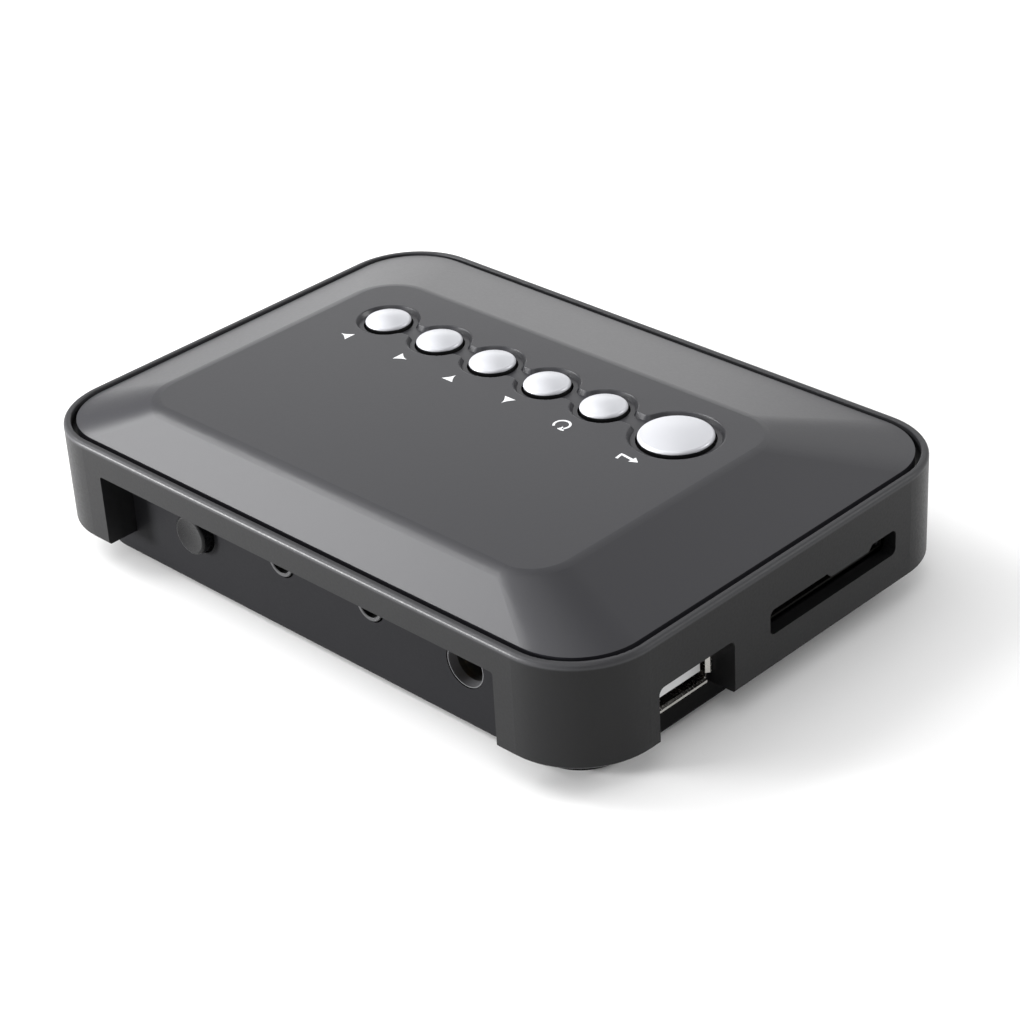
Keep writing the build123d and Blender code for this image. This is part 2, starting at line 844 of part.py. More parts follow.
# Keys: a low dome with a rolled edge, a skirt, a flange that the cover holds, and a stem
key_rim = crown_top + key_rim_rise
key_flange_top = guide_bottom - key_flange_gap
key_flange_bottom = key_flange_top - key_flange_thickness
for number, (x, radius) in enumerate(zip(key_xs, key_radii), start=1):
    dome_edge = radius - key_edge_round
    dome_radius = (dome_edge**2 + key_dome_rise**2) / (2 * key_dome_rise)
    with BuildPart() as key:
        with BuildSketch(upright_plane(x, key_y)):
            with BuildLine():
                Polyline(
                    (0, key_rim + key_dome_rise),
                    (0, plunger_top),
                    (key_stem_radius, plunger_top),
                    (key_stem_radius, key_flange_bottom),
                    (radius + key_flange_width, key_flange_bottom),
                    (radius + key_flange_width, key_flange_top),
                    (radius, key_flange_top),
                    (radius, key_rim - key_edge_round),
                )
                RadiusArc((radius, key_rim - key_edge_round), (dome_edge, key_rim), -key_edge_round)
                RadiusArc((dome_edge, key_rim), (0, key_rim + key_dome_rise), -dome_radius)
            make_face()
        revolve(axis=upright_axis(x, key_y))
    keep(key, f"key_{number}")

# Tact switches and their plungers
for number, x in enumerate(key_xs, start=1):
    with BuildPart() as switch:
        with BuildSketch(Plane.XY.offset(key_board_top)):
            with Locations((x, key_y)):
                RectangleRounded(switch_width, switch_width, switch_edge)
        extrude(amount=switch_height)
        with BuildSketch(Plane.XY.offset(switch_top)):
            with Locations((x, key_y)):
                Circle(switch_bore)
        extrude(amount=-switch_bore_depth, mode=Mode.SUBTRACT)
    keep(switch, f"switch_{number}")
    with BuildPart() as plunger:
        with BuildSketch(Plane.XY.offset(plunger_bottom)):
            with Locations((x, key_y)):
                Circle(plunger_radius)
        extrude(amount=plunger_top - plunger_bottom)
    keep(plunger, f"plunger_{number}")

# Power button: a disc with a shallow dish, and a flange behind the panel
with BuildPart() as power_button:
    with BuildSketch(axis_plane(power_x, power_z, power_flange_back)):
        Circle(power_radius + power_flange_width)
    extrude(amount=power_flange_thickness)
    with BuildSketch(axis_plane(power_x, power_z, power_flange_front)):
        Circle(power_radius)
    extrude(amount=power_face - power_flange_front)
    fillet(power_button.edges().group_by(Axis.Y)[-1], power_edge_round)
    dish_edge = power_radius - power_edge_round
    dish_radius = (dish_edge**2 + power_dish**2) / (2 * power_dish)
    with Locations((power_x, power_face + dish_radius - power_dish, power_z)):
        Sphere(dish_radius, mode=Mode.SUBTRACT)
keep(power_button, "power_button")

with BuildPart() as power_plunger:
    with BuildSketch(axis_plane(power_x, power_z, power_stem_end)):
        Rectangle(power_stem, power_stem)
    extrude(amount=power_flange_back - power_stem_end)
keep(power_plunger, "power_plunger")

with BuildPart() as power_switch:
    with BuildSketch(axis_plane(power_x, power_z, power_switch_front)):
        Rectangle(power_switch_width, 2 * (power_z - board_top))
        Rectangle(power_bore, power_bore, mode=Mode.SUBTRACT)
    extrude(amount=-power_bore_depth)
    with BuildSketch(axis_plane(power_x, power_z, power_switch_front - power_bore_depth)):
        Rectangle(power_switch_width, 2 * (power_z - board_top))
    extrude(amount=power_bore_depth - power_switch_length)
keep(power_switch, "power_switch")

# Audio and video jacks, each a body with a round nose
for name, x in jack_xs.items():
    with BuildPart() as jack:
        with BuildSketch(Plane.XY.offset(board_top)):
            with Locations((x, jack_front - jack_length / 2)):
                Rectangle(jack_width, jack_length)
        extrude(amount=jack_z + jack_roof - board_top)
        with BuildSketch(axis_plane(x, jack_z, jack_front)):
            Circle(jack_bore)
        extrude(amount=-jack_bore_depth, mode=Mode.SUBTRACT)
    keep(jack, name)
    with BuildPart() as nose:
        with BuildSketch(axis_plane(x, jack_z, jack_front)):
            Circle(jack_nose_radius)
            Circle(jack_bore, mode=Mode.SUBTRACT)
        extrude(amount=panel_face + jack_nose_rise - jack_front)
        chamfer(nose.edges().group_by(Axis.Y)[-1], jack_flare)
    keep(nose, f"{name}_nose")

# Body of the power inlet
with BuildPart() as inlet:
    with BuildSketch(Plane.XY.offset(board_top)):
        with Locations((inlet_x, jack_front - inlet_length / 2)):
            Rectangle(inlet_width, inlet_length)
    extrude(amount=inlet_z + inlet_roof - board_top)
    with BuildSketch(axis_plane(inlet_x, inlet_z, jack_front)):
        Circle(inlet_bore)
    extrude(amount=-inlet_bore_depth, mode=Mode.SUBTRACT)
keep(inlet, "power_inlet")

# Collar of the inlet, which stands in the panel's opening and widens to its mouth
inlet_nose_face = panel_face - inlet_nose_sink
with BuildPart() as inlet_nose:
    with BuildSketch(axis_plane(inlet_x, inlet_z, jack_front)):
        Circle(inlet_nose_radius)
        Circle(inlet_bore, mode=Mode.SUBTRACT)
    extrude(amount=inlet_nose_face - jack_front)
    with BuildSketch(axis_plane(inlet_x, inlet_z, inlet_nose_face)):
        Circle(inlet_mouth_radius)
    with BuildSketch(axis_plane(inlet_x, inlet_z, inlet_nose_face - inlet_mouth_depth)):
        Circle(inlet_bore)
    loft(mode=Mode.SUBTRACT)
keep(inlet_nose, "inlet_nose")

# Centre pin of the inlet
with BuildPart() as inlet_pin:
    with BuildSketch(axis_plane(inlet_x, inlet_z, jack_front - inlet_bore_depth)):
        Circle(inlet_pin_radius)
    extrude(amount=panel_face - inlet_pin_tip_sink - jack_front + inlet_bore_depth)
    fillet(inlet_pin.edges().group_by(Axis.Y)[-1], inlet_pin_radius / 2)
keep(inlet_pin, "inlet_pin")

# USB socket: shell with four flared lips, block with its tongue, and four contacts
usb_straight_front = usb_mouth + usb_lip_length
with BuildPart() as usb_shell:
    for inset, mode in ((0, Mode.ADD), (usb_sheet, Mode.SUBTRACT)):
        width = usb_width - 2 * inset
        height = usb_height - 2 * inset
        with BuildSketch(end_plane(usb_y, usb_z, usb_straight_front)):
            RectangleRounded(width, height, 2 * usb_sheet - inset)
        extrude(amount=usb_lip_length - usb_length, mode=mode)
        with BuildSketch(end_plane(usb_y, usb_z, usb_straight_front)):
            RectangleRounded(width, height, 2 * usb_sheet - inset)
        with BuildSketch(end_plane(usb_y, usb_z, usb_mouth)):
            RectangleRounded(
                width + 2 * usb_side_flare, height + 2 * usb_lip_flare, 2 * usb_sheet - inset
            )
        loft(mode=mode)
    with BuildSketch(end_plane(usb_y, usb_z, usb_mouth)):
        with GridLocations(usb_width + usb_side_flare, usb_height + usb_lip_flare, 2, 2):
            Rectangle(usb_lip_cut_width, usb_lip_cut_height)
    extrude(amount=-usb_lip_length, mode=Mode.SUBTRACT)
keep(usb_shell, "usb_shell")

usb_room_width = usb_width - 2 * usb_sheet - 2 * usb_fit
usb_room_height = usb_height - 2 * usb_sheet - 2 * usb_fit
usb_back = usb_mouth + usb_length
tongue_z = usb_sheet + usb_tongue_lift + usb_tongue_height / 2 - usb_height / 2
with BuildPart() as usb_block:
    with BuildSketch(end_plane(usb_y, usb_z, usb_back)):
        RectangleRounded(usb_room_width, usb_room_height, usb_sheet)
    extrude(amount=usb_block_length)
    with BuildSketch(end_plane(usb_y, usb_z, usb_back - usb_block_length)):
        with Locations((0, tongue_z)):
            Rectangle(usb_tongue_width, usb_tongue_height)
    extrude(amount=usb_length - usb_block_length - usb_tongue_sink)
    chamfer(usb_block.edges().group_by(Axis.X)[0], usb_tongue_bevel)
keep(usb_block, "usb_block")

with BuildPart() as usb_contacts:
    with BuildSketch(end_plane(usb_y, usb_z, usb_back - usb_block_length)):
        for contact_y in usb_contact_pitches:
            with Locations((contact_y, tongue_z + usb_tongue_height / 2 + usb_contact_height / 2)):
                Rectangle(usb_contact_width, usb_contact_height)
    extrude(amount=usb_contact_length)
keep(usb_contacts, "usb_contacts")

# Card socket: frame against the key board, sheet cover below it, and contacts
frame_width = socket_width - 2 * socket_sheet
frame_length = socket_length - socket_sheet
frame_front = socket_mouth + socket_sheet
socket_bottom = key_board_bottom - socket_height
contact_pitch = socket_contact_span / (socket_contact_count - 1)
with BuildPart() as card_frame:
    with BuildSketch(Plane.XY.offset(key_board_bottom)):
        with Locations((frame_front + frame_length / 2, card_y)):
            Rectangle(frame_length, frame_width)
    extrude(amount=-(socket_height - socket_sheet))
    with BuildSketch(Plane.XY.offset(key_board_bottom - socket_roof)):
        with Locations((frame_front + card_gap_length / 2, card_y)):
            Rectangle(card_gap_length, card_gap_width)
    extrude(amount=-socket_height, mode=Mode.SUBTRACT)
keep(card_frame, "card_frame")

with BuildPart() as card_cover:
    with BuildSketch(Plane.XY.offset(socket_bottom)):
        with Locations(((socket_mouth + socket_back) / 2, card_y)):
            Rectangle(socket_back - socket_mouth, socket_width)
    extrude(amount=socket_height)
    with BuildSketch(Plane.XY.offset(socket_bottom + socket_sheet)):
        with Locations(((socket_mouth + socket_back) / 2, card_y)):
            Rectangle(socket_back - socket_mouth, frame_width)
    extrude(amount=socket_height, mode=Mode.SUBTRACT)
keep(card_cover, "card_cover")

with BuildPart() as card_contacts:
    with BuildSketch(Plane.XY.offset(key_board_bottom - socket_roof)):
        with Locations((frame_front + card_gap_length - socket_contact_length / 2, card_y)):
            with GridLocations(0, contact_pitch, 1, socket_contact_count):
                Rectangle(socket_contact_length, socket_contact_width)
    extrude(amount=-socket_contact_height)
keep(card_contacts, "card_contacts")

# Front window with its rim inside the wall
with BuildPart() as window:
    with BuildSketch(upright_plane(window_x, -case_width / 2)):
        with Locations((0, window_z)):
            RectangleRounded(
                window_width - 2 * window_clearance,
                window_height - 2 * window_clearance,
                window_corner - window_clearance,
            )
    extrude(amount=-case_wall)
    with BuildSketch(upright_plane(window_x, -case_width / 2 + case_wall)):
        with Locations((0, window_z)):
            RectangleRounded(
                window_width + 2 * window_rim, window_height + 2 * window_rim, window_corner
            )
    extrude(amount=-window_rim_thickness)
keep(window, "front_window")

# Infrared receiver with its round eye
with BuildPart() as receiver:
    with BuildSketch(Plane.XY.offset(board_top)):
        with Locations((receiver_x, front_part_y)):
            Rectangle(receiver_width, receiver_depth)
    extrude(amount=receiver_height)
    with BuildSketch(Plane.XY.offset(board_top + receiver_eye)):
        with Locations((receiver_x, front_part_y - receiver_depth / 2)):
            Circle(receiver_eye)
    extrude(amount=receiver_height - receiver_eye)
keep(receiver, "infrared_receiver")

# Lamp
with BuildPart() as lamp:
    with BuildSketch(Plane.XY.offset(board_top)):
        with Locations((lamp_x, front_part_y)):
            Circle(lamp_radius + lamp_collar)
    extrude(amount=lamp_collar_height)
    with BuildSketch(Plane.XY.offset(board_top)):
        with Locations((lamp_x, front_part_y)):
            Circle(lamp_radius)
    extrude(amount=lamp_height)
    fillet(lamp.edges().group_by(Axis.Z)[-1], lamp_round)
keep(lamp, "status_lamp")

# Processor and finned heat sink
with BuildPart() as processor:
    with BuildSketch(Plane.XY.offset(board_top)):
        with Locations(chip_center):
            Rectangle(chip_width, chip_width)
    extrude(amount=chip_height)
    chamfer(processor.edges().group_by(Axis.Z)[-1], chip_edge)
keep(processor, "processor")

with BuildPart() as heat_sink:
    with BuildSketch(Plane.XY.offset(board_top + chip_height)):
        with Locations(chip_center):
            Rectangle(sink_width, sink_width)
    extrude(amount=sink_base)
    fin_pitch = (sink_width - fin_thickness) / (fin_count - 1)
    with BuildSketch(Plane.XY.offset(board_top + chip_height + sink_base)):
        with Locations(chip_center):
            with GridLocations(fin_pitch, 0, fin_count, 1):
                Rectangle(fin_thickness, sink_width)
    extrude(amount=sink_height - sink_base)
keep(heat_sink, "heat_sink")

# Memory chips and flash chip
for name, place in memory_places.items():
    with BuildPart() as memory:
        with BuildSketch(Plane.XY.offset(board_top)):
            with Locations(place):
                Rectangle(memory_width, memory_length)
        extrude(amount=memory_height)
        chamfer(memory.edges().group_by(Axis.Z)[-1], chip_edge)
    keep(memory, name)

with BuildPart() as flash:
    with BuildSketch(Plane.XY.offset(board_top)):
        with Locations((flash_x, flash_inset - board_side)):
            Rectangle(flash_length, flash_width)
    extrude(amount=flash_height)
    chamfer(flash.edges().group_by(Axis.Z)[-1], chip_edge)
keep(flash, "flash_chip")

# Crystal in its can
with BuildPart() as crystal:
    with BuildSketch(Plane.XY.offset(board_top)):
        with Locations(crystal_place):
            SlotOverall(crystal_length, crystal_width)
    extrude(amount=crystal_height)
    fillet(crystal.edges().group_by(Axis.Z)[-1], crystal_round)
keep(crystal, "crystal")

# Choke: a drum core on a square foot
with BuildPart() as choke:
    with BuildSketch(Plane.XY.offset(board_top)):
        with Locations((choke_x, tray_rear - choke_inset)):
            RectangleRounded(choke_width, choke_width, choke_corner)
    extrude(amount=choke_foot)
    with BuildSketch(Plane.XY.offset(board_top + choke_foot)):
        with Locations((choke_x, tray_rear - choke_inset)):
            Circle(choke_waist_radius)
    extrude(amount=choke_height - choke_foot)
    with BuildSketch(Plane.XY.offset(board_top + choke_height)):
        with Locations((choke_x, tray_rear - choke_inset)):
            Circle(choke_drum_radius)
    extrude(amount=-choke_foot)
keep(choke, "choke")

# Capacitor cans, each with the groove pressed round its foot
with BuildPart() as cans:
    with BuildSketch(Plane.XY.offset(board_top)):
        with Locations(*can_places):
            Circle(can_radius)
    extrude(amount=can_height)
    with BuildSketch(Plane.XY.offset(board_top + can_groove_height)):
        with Locations(*can_places):
            Circle(can_radius + can_groove)
            Circle(can_radius - can_groove, mode=Mode.SUBTRACT)
    extrude(amount=2 * can_groove, mode=Mode.SUBTRACT)
keep(cans, "capacitors")

# Pin strip and its pins
with BuildPart() as strip:
    with BuildSketch(Plane.XY.offset(board_top)):
        with Locations(strip_center):
            Rectangle(strip_count * strip_pitch, strip_width)
            with GridLocations(strip_pitch, 0, strip_count, 1):
                Circle(pin_hole, mode=Mode.SUBTRACT)
    extrude(amount=strip_height)
keep(strip, "pin_strip")

with BuildPart() as pins:
    with BuildSketch(Plane.XY.offset(board_bottom - pin_tail)):
        with Locations(strip_center):
            with GridLocations(strip_pitch, 0, strip_count, 1):
                Rectangle(pin_side, pin_side)
    extrude(amount=key_board_top - board_bottom + 2 * pin_tail)
keep(pins, "strip_pins")
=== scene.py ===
# %% [markdown]
# # A pocket media player
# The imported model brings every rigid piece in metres, at its true place. This lesson adds
# what a solid can't say: how each plastic was moulded, what is painted or plated, and the
# marks printed on the cover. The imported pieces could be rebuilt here, but then they could
# drift from the ones that collide and move, so they stay, and only their finish changes.

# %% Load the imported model
import math

import bpy
from mathutils import Matrix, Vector
import numpy as np


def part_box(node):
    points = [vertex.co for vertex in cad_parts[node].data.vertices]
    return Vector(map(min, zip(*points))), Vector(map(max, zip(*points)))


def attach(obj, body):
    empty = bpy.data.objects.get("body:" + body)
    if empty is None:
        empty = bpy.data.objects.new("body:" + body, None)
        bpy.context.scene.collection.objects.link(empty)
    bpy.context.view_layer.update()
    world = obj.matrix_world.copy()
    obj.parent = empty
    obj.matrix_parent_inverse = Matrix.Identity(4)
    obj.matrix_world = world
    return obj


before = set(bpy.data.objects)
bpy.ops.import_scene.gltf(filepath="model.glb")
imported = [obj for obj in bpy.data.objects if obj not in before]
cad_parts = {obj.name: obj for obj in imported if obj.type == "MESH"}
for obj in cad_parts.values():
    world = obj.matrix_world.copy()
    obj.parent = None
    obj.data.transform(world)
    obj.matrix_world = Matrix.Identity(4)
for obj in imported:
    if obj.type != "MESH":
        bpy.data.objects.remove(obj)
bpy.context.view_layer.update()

# %% [markdown]
# ## Colours
# Colours are written in sRGB hex, as on a paint chart, but a shader wants linear light. The
# linear numbers could be typed in, but nobody can read them, so one function works them out.

# %% Colours
def linear(hex_colour):
    """Linear RGBA of an sRGB hex colour: c/12.92 below 0.04045, else ((c+0.055)/1.055)^2.4."""
    channels = np.array([int(hex_colour[i:i + 2], 16) for i in (1, 3, 5)]) / 255
    low = channels / 12.92
    high = ((channels + 0.055) / 1.055) ** 2.4
    return (*np.where(channels <= 0.04045, low, high), 1.0)


print("mid grey", [round(c, 3) for c in linear("#808080")])

# %% [markdown]
# ## Nodes
# A material is a tree of nodes. It could be typed node by node, but nearly every line would
# then say the same thing, so one small function adds a node, sets it and links it.

# %% Nodes
def add(tree, kind, inputs=None, **settings):
    """Add a node, set its properties, and set or link its inputs, by name or by number."""
    made = tree.nodes.new(kind)
    for name, value in settings.items():
        setattr(made, name, value)
    for key, value in (inputs or {}).items():
        if isinstance(value, bpy.types.NodeSocket):
            tree.links.new(value, made.inputs[key])
        else:
            made.inputs[key].default_value = value
    return made


# The Mix node has sockets for each kind of data. These are its two colours and its result.
MIX_FIRST, MIX_SECOND, MIX_RESULT = 6, 7, 2
print("colours of a mix go into", MIX_FIRST, "and", MIX_SECOND, "and come out of", MIX_RESULT)

# %% [markdown]
# ## Painted shade on the faces turned away
# Faces that look away from one direction get a darker colour as painted shade, the shade of a
# bore, a gap or a pocket, and the faces that look toward it keep their tone. The shaded faces
# could be a second material, but then the line between the two would have to be cut into the
# mesh. The normal's share along the direction tells them apart. The same test serves every
# piece whose painted shade lies on one side only.

# %% Painted shade on the faces turned away
# These two shares place the painted shade: it is full where the share is below the first and
# gone where it is above the second.
full_shade_below, no_shade_above = 0.04, 0.14  # shares at which the paint starts and covers


def painted(tree, tone, shade_colour, toward):
    """The tone where the normal times the direction toward is above the upper share, and the
    shade colour, a painted shade, where it is below the lower share."""
    surface = add(tree, "ShaderNodeNewGeometry")
    share = add(tree, "ShaderNodeVectorMath", {
        0: surface.outputs["Normal"], 1: toward}, operation="DOT_PRODUCT")
    unshaded = add(tree, "ShaderNodeMapRange", {
        "Value": share.outputs["Value"], "From Min": full_shade_below, "From Max": no_shade_above})
    mixed = add(tree, "ShaderNodeMix", {
        "Factor": unshaded.outputs["Result"], MIX_FIRST: linear(shade_colour), MIX_SECOND: tone},
        data_type="RGBA")
    return mixed.outputs[MIX_RESULT]


# The painted shade covers faces turned more than the first angle from the direction, and is
# gone on faces turned less than the second.
turns = [round(math.degrees(math.acos(share))) for share in (full_shade_below, no_shade_above)]
print("paint starts on faces turned", turns[0], "degrees away and covers those at", turns[1])

# %% [markdown]
# ## A painted highlight on the bead
# The rounded bead round the seam catches a broad band of light, so a lighter grey is painted on
# it above a height, as a painted highlight. It could be painted by hand on an image, but the
# bead of this case is all at one height, so its height finds it.

# %% A painted highlight on the bead
MM = 0.001


def paint_highlight_above(tree, place, tone, bead_highlight):
    """The tone below the first height in mm, and the highlight's colour above the second: a
    painted highlight.
    """
    highlight_colour, first_height, full_height = bead_highlight
    level = add(tree, "ShaderNodeSeparateXYZ", {"Vector": place.outputs["Object"]})
    share = add(tree, "ShaderNodeMapRange", {
        "Value": level.outputs["Z"],
        "From Min": first_height * MM, "From Max": full_height * MM})
    mixed = add(tree, "ShaderNodeMix", {
        "Factor": share.outputs["Result"], MIX_FIRST: tone, MIX_SECOND: linear(highlight_colour)},
        data_type="RGBA")
    return mixed.outputs[MIX_RESULT]


print("a millimetre is", MM, "in the meshes")

# %% [markdown]
# ## What every moulded or plated finish shares
# A moulded skin is never one flat colour. Flow and handling leave broad, faint clouds of
# a second tone, and the tool's texture leaves a grain that tilts the surface and changes
# how it shines. Both come from noise in real millimetres, measured on the piece itself,
# so the pattern stays put when a key moves. A picture could carry them, but it would need a
# layout of each piece's faces, and noise needs none.

# %% The shared finish
UP, REAR, USB_END = (0, 0, 1), (0, 1, 0), (-1, 0, 0)
noise_low, noise_high = 0.3, 0.7  # nearly all of a noise lies between these


def per_metre(size_mm):
    """Scale of a pattern whose features are size_mm across: one over the size in metres."""
    return 1 / (size_mm * MM)


def finish(
    name, colour, second, roughness, grain, relief, cloud=9.0, stretch=(1, 1, 1), shade_colour=None,
    toward=UP, uneven=0.05, bead_highlight=None, specular=0.5, **shine
):
    """A Principled surface: two tones over clouds of cloud mm, and grain of grain mm that is
    relief mm deep and moves the roughness by up to uneven. stretch draws the grain out along an
    axis. The colour given for the faces that don't look toward the given direction is painted
    shade, and the colour given with two heights in mm is a painted highlight that sets in
    between them."""
    material = bpy.data.materials.new(name)
    material.use_nodes = True
    tree = material.node_tree
    tree.nodes.clear()
    place = add(tree, "ShaderNodeTexCoord")
    drawn = add(tree, "ShaderNodeMapping", {
        "Vector": place.outputs["Object"], "Scale": stretch})
    clouds = add(tree, "ShaderNodeTexNoise", {
        "Vector": place.outputs["Object"], "Scale": per_metre(cloud), "Detail": 3.0})
    fine = add(tree, "ShaderNodeTexNoise", {
        "Vector": drawn.outputs["Vector"], "Scale": per_metre(grain), "Detail": 2.0})
    mixed = add(tree, "ShaderNodeMix", {
        "Factor": clouds.outputs["Fac"], MIX_FIRST: linear(colour), MIX_SECOND: linear(second)},
        data_type="RGBA")
    tone = mixed.outputs[MIX_RESULT]
    if shade_colour:
        tone = painted(tree, tone, shade_colour, toward)
    if bead_highlight:
        tone = paint_highlight_above(tree, place, tone, bead_highlight)
    spread = add(tree, "ShaderNodeMapRange", {
        "Value": fine.outputs["Fac"], "From Min": noise_low, "From Max": noise_high,
        "To Min": roughness - uneven, "To Max": roughness + uneven})
    bump = add(tree, "ShaderNodeBump", {
        "Height": fine.outputs["Fac"], "Distance": relief * MM, "Strength": 1.0})
    shader = add(tree, "ShaderNodeBsdfPrincipled", {
        "Base Color": tone, "Roughness": spread.outputs["Result"],
        "Normal": bump.outputs["Normal"], "Specular IOR Level": specular, **shine})
    add(tree, "ShaderNodeOutputMaterial", {"Surface": shader.outputs["BSDF"]})
    return material


print("a grain of 0.4 mm is noise at scale", round(per_metre(0.4)))

# %% [markdown]
# ## The case and the cover
# The case ring is ABS moulded in a tool that was spark-eroded, which gives a fine even grit
# with little shine. From a height of 19.5 mm the rounded bead round the seam is a lighter grey,
# a painted highlight for the bright band it catches. The tray's connector panel, which looks to
# the rear, is a matt dark grey, and its other faces, such as the one below the USB socket, are
# near black as painted shade. The cover is the same ABS with a satin lacquer: smoother, a
# little bluer and brighter, with a faint orange peel. The grit is really about 0.15 mm and is
# drawn at 0.4 mm, because a finer one would vanish between two pixels. The painted highlight
# and the painted shade could be second materials on some faces, but a test of height or
# direction keeps each piece in one finish.

# %% Case and cover
finishes = {
    # Dull, even and near black, with a lighter grey painted on the bead as a painted highlight.
    "case_plastic": finish(
        "spark_eroded_abs", "#0F0F10", "#131314", roughness=0.40, grain=0.4, relief=0.008,
        bead_highlight=("#363638", 19.5, 19.8), specular=0.2, IOR=1.52),
    # A matt dark grey on the panel that looks to the rear, and near black painted shade
    # elsewhere.
    "tray_plastic": finish(
        "matt_abs", "#161618", "#19191B", roughness=0.5, grain=0.4, relief=0.002, uneven=0.03,
        shade_colour="#060607", toward=REAR, specular=0.06, IOR=1.52),
    # A broad soft shine, with clouds too faint to see one by one.
    "cover_plastic": finish(
        "satin_lacquer", "#26262A", "#28282C", roughness=0.34, grain=0.5, relief=0.003,
        cloud=30.0, uneven=0.012, IOR=1.50),
}
print("finishes", sorted(finishes))

# %% [markdown]
# ## Keys and buttons
# The key caps are sprayed with a silver paint: tiny flakes give it a soft metal sheen, stronger
# than plain plastic and weaker than metal. The top and its rolled edge are silver, and the
# upright sides are near black, painted shade for the gap where each cap dips into its well, so
# each cap ends in a dark line. The caps could be all silver, but then that line is lost. The
# power button is bare ABS.

# %% Keys and buttons
finishes.update(
    # Pale silver on top, and black painted shade on the sides.
    key_plastic=finish(
        "silver_paint", "#BDBEC3", "#C5C6CA", roughness=0.36, grain=0.25, relief=0.002,
        shade_colour="#1A1A1B", Metallic=0.25, IOR=1.50),
    # Black, and smooth enough to catch a small highlight.
    button_plastic=finish(
        "polished_abs", "#08080A", "#0B0B0C", roughness=0.3, grain=0.3, relief=0.002,
        specular=0.18, IOR=1.52),
)
print("finishes", len(finishes))

# %% [markdown]
# ## Metals
# Plated steel sheet, zinc on screws and gold on contacts differ in tint and in how they were
# worked. Sheet keeps the streaks of rolling, so its grain is drawn out along its length. The
# sheet over the card socket is nearly black as painted shade, because a bright edge would show
# as a line deep in the card slot, which looks evenly dark in its shade. A metal keeps the
# shader's own IOR, because its tint sets the shine. All of them could be one grey metal, but
# side by side the tints tell.

# %% Metals
rolled_along_x, drawn_along_y = (0.15, 1, 1), (1, 0.1, 1)
finishes.update(
    # A warm white shine in fine streaks.
    plated_sheet=finish(
        "nickel_plated_sheet", "#C9C7C2", "#BDBBB6", roughness=0.24, grain=0.3, relief=0.002,
        stretch=rolled_along_x, Metallic=1.0),
    # A cool, slightly dusty grey.
    screw_steel=finish(
        "zinc_plated_steel", "#A9ABAE", "#9C9DA0", roughness=0.36, grain=0.25, relief=0.004,
        Metallic=1.0),
    # Yellow, and the brightest spot in a socket.
    contact_metal=finish(
        "gold_plated_bronze", "#D9B46A", "#CFA75C", roughness=0.28, grain=0.3, relief=0.002,
        Metallic=1.0),
    # Dark grey, with the long lines of extrusion.
    sink_aluminium=finish(
        "anodised_aluminium", "#4B4E53", "#44474B", roughness=0.42, grain=0.3, relief=0.006,
        stretch=drawn_along_y, Metallic=1.0),
    # Nearly black as painted shade, with a soft streaky shine.
    blackened_sheet=finish(
        "dark_sheet_for_slot_shade", "#3A3937", "#32312F", roughness=0.45, grain=0.3, relief=0.003,
        stretch=rolled_along_x, Metallic=1.0),
    # A clean bright can.
    plated_can=finish(
        "drawn_tin_plate", "#C4C6C8", "#B7B9BC", roughness=0.26, grain=0.4, relief=0.002,
        Metallic=1.0),
)
print("finishes", len(finishes))

# %% [markdown]
# ## Plastics of the sockets
# The jack noses, the collar of the power inlet and the white tongue of the USB socket get a
# darker colour on the faces that look away from the opening, as painted shade. Their bores
# swallow light in the real piece, which a bore of a few millimetres under a soft light wouldn't
# do here by itself. The bores could be lined with black pieces, but the turn of a face says the
# same.

# %% Plastics of the sockets
finishes.update(
    # Satin black.
    jack_plastic=finish(
        "black_polyester", "#1B1B1C", "#202021", roughness=0.45, grain=0.3, relief=0.004,
        IOR=1.57),
    # A dark grey rim round a bore that is painted black as shade.
    jack_nose=finish(
        "grey_polyester", "#242426", "#2A2A2C", roughness=0.45, grain=0.3, relief=0.004,
        shade_colour="#050505", toward=REAR, IOR=1.57),
    # A lighter grey cone, dull, with black painted shade inside.
    inlet_collar=finish(
        "grey_nylon", "#3E3E40", "#464648", roughness=0.5, grain=0.35, relief=0.004,
        shade_colour="#0A0A0A", toward=REAR, IOR=1.53),
    # A white end face. The sides deep in the shell are painted brown as shade.
    usb_insulator=finish(
        "white_nylon", "#C9CACB", "#D4D4D3", roughness=0.42, grain=0.35, relief=0.003,
        shade_colour="#241F1B", toward=USB_END, IOR=1.53),
    # Dull black with a sandy grain.
    socket_plastic=finish(
        "black_liquid_crystal_polymer", "#171718", "#1D1D1E", roughness=0.5, grain=0.3,
        relief=0.006, IOR=1.60),
)
print("finishes", len(finishes))

# %% [markdown]
# ## Plastics, resin and rubber inside and below
# Each of these is named for its real stuff. They differ in tone, shine and grit, and all of
# them are moulded or cast, so they share the same tree. Each could have a tree of its own,
# but most are small and hidden, and the tree already knows grit and clouds.

